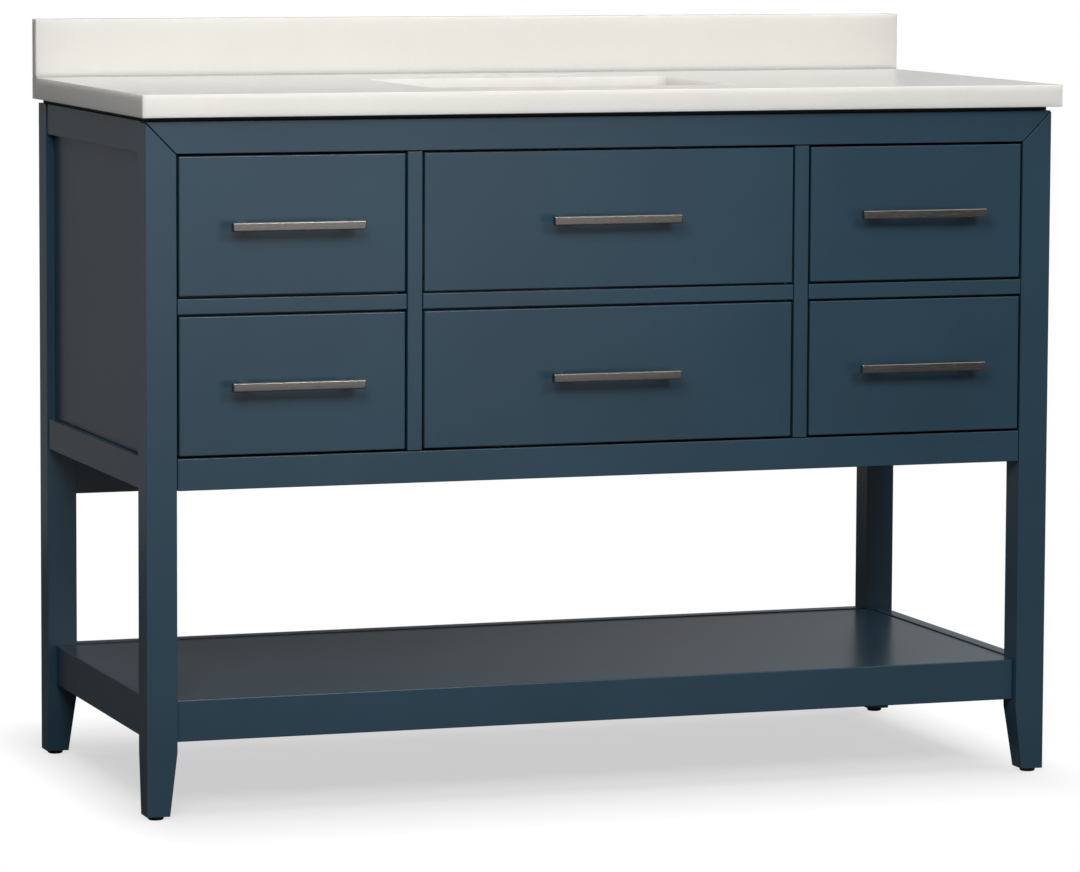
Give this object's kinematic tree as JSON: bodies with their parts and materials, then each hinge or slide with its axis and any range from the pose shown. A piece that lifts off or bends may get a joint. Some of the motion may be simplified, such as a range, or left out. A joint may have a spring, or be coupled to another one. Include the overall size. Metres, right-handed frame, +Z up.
{
  "type": "bathroom vanity cabinet",
  "caption": "Freestanding vanity with a stone top, undermount basin, backsplash, flush drawers with bar pulls, a tip-out tray front, tapered legs and an open lower shelf.",
  "frame": {"origin": "centre of the bounding box on the floor plane, between the four feet", "axes": "+X to the right seen from the front, -Y out of the front with the pulls, +Z up"},
  "size_m": [1.219, 0.573, 0.97],
  "materials": {
    "navy_paint": "satin blue paint over wood and fibreboard",
    "white_quartz": "polished off-white engineered stone",
    "white_porcelain": "gloss white glaze",
    "brushed_nickel": "brushed satin nickel",
    "zinc_steel": "bright zinc plated steel",
    "black_oxide": "blackened steel pins",
    "drawer_wood": "clear-lacquered pale wood and plywood",
    "black_spacer": "matt black painted strip",
    "black_rubber": "matt black moulded glide",
    "white_plastic": "satin white moulded plastic"
  },
  "bodies": {
    "cabinet": {"leg_front_left": "navy_paint", "foot_front_left": "black_rubber", "leg_front_right": "navy_paint", "foot_front_right": "black_rubber", "leg_rear_left": "navy_paint", "foot_rear_left": "black_rubber", "leg_rear_right": "navy_paint", "foot_rear_right": "black_rubber", "front_top_rail": "navy_paint", "front_bottom_rail": "navy_paint", "stile_left": "navy_paint", "tipout_pivot_left": "black_oxide", "stile_right": "navy_paint", "tipout_pivot_right": "black_oxide", "mid_rail_left": "navy_paint", "mid_rail_center": "navy_paint", "mid_rail_right": "navy_paint", "side_top_rail_left": "navy_paint", "side_bottom_rail_left": "navy_paint", "side_panel_left": "navy_paint", "divider_left": "drawer_wood", "side_top_rail_right": "navy_paint", "side_bottom_rail_right": "navy_paint", "side_panel_right": "navy_paint", "divider_right": "drawer_wood", "cabinet_floor": "drawer_wood", "back_panel": "navy_paint", "back_bottom_rail": "navy_paint", "shelf_apron_front": "navy_paint", "shelf_apron_back": "navy_paint", "shelf_apron_left": "navy_paint", "shelf_apron_right": "navy_paint", "shelf_board": "navy_paint", "top_spacer": "black_spacer", "countertop": "white_quartz", "backsplash": "white_quartz", "sink_basin": "white_porcelain", "drawer_top_left_runners": "zinc_steel", "drawer_top_right_runners": "zinc_steel", "drawer_bottom_left_runners": "zinc_steel", "drawer_bottom_center_runners": "zinc_steel", "drawer_bottom_right_runners": "zinc_steel"},
    "drawer_top_left": {"drawer_top_left_front": "navy_paint", "drawer_top_left_pull": "brushed_nickel", "drawer_top_left_box": "drawer_wood"},
    "tipout": {"tipout_front": "navy_paint", "tipout_pull": "brushed_nickel", "tipout_tray": "white_plastic"},
    "drawer_top_right": {"drawer_top_right_front": "navy_paint", "drawer_top_right_pull": "brushed_nickel", "drawer_top_right_box": "drawer_wood"},
    "drawer_bottom_left": {"drawer_bottom_left_front": "navy_paint", "drawer_bottom_left_pull": "brushed_nickel", "drawer_bottom_left_box": "drawer_wood"},
    "drawer_bottom_center": {"drawer_bottom_center_front": "navy_paint", "drawer_bottom_center_pull": "brushed_nickel", "drawer_bottom_center_box": "drawer_wood"},
    "drawer_bottom_right": {"drawer_bottom_right_front": "navy_paint", "drawer_bottom_right_pull": "brushed_nickel", "drawer_bottom_right_box": "drawer_wood"}
  },
  "joints": [
    {"name": "drawer_top_left_slide", "type": "slide", "parent": "cabinet", "child": "drawer_top_left", "axis": [0, -1, 0], "range_m": [0, 0.3]},
    {"name": "drawer_top_right_slide", "type": "slide", "parent": "cabinet", "child": "drawer_top_right", "axis": [0, -1, 0], "range_m": [0, 0.3]},
    {"name": "drawer_bottom_left_slide", "type": "slide", "parent": "cabinet", "child": "drawer_bottom_left", "axis": [0, -1, 0], "range_m": [0, 0.3]},
    {"name": "drawer_bottom_center_slide", "type": "slide", "parent": "cabinet", "child": "drawer_bottom_center", "axis": [0, -1, 0], "range_m": [0, 0.3]},
    {"name": "drawer_bottom_right_slide", "type": "slide", "parent": "cabinet", "child": "drawer_bottom_right", "axis": [0, -1, 0], "range_m": [0, 0.3]},
    {"name": "tipout_hinge", "type": "hinge", "parent": "cabinet", "child": "tipout", "pos_m": [0, -0.248, 0.66475], "axis": [1, 0, 0], "range_deg": [0, 30]}
  ]
}
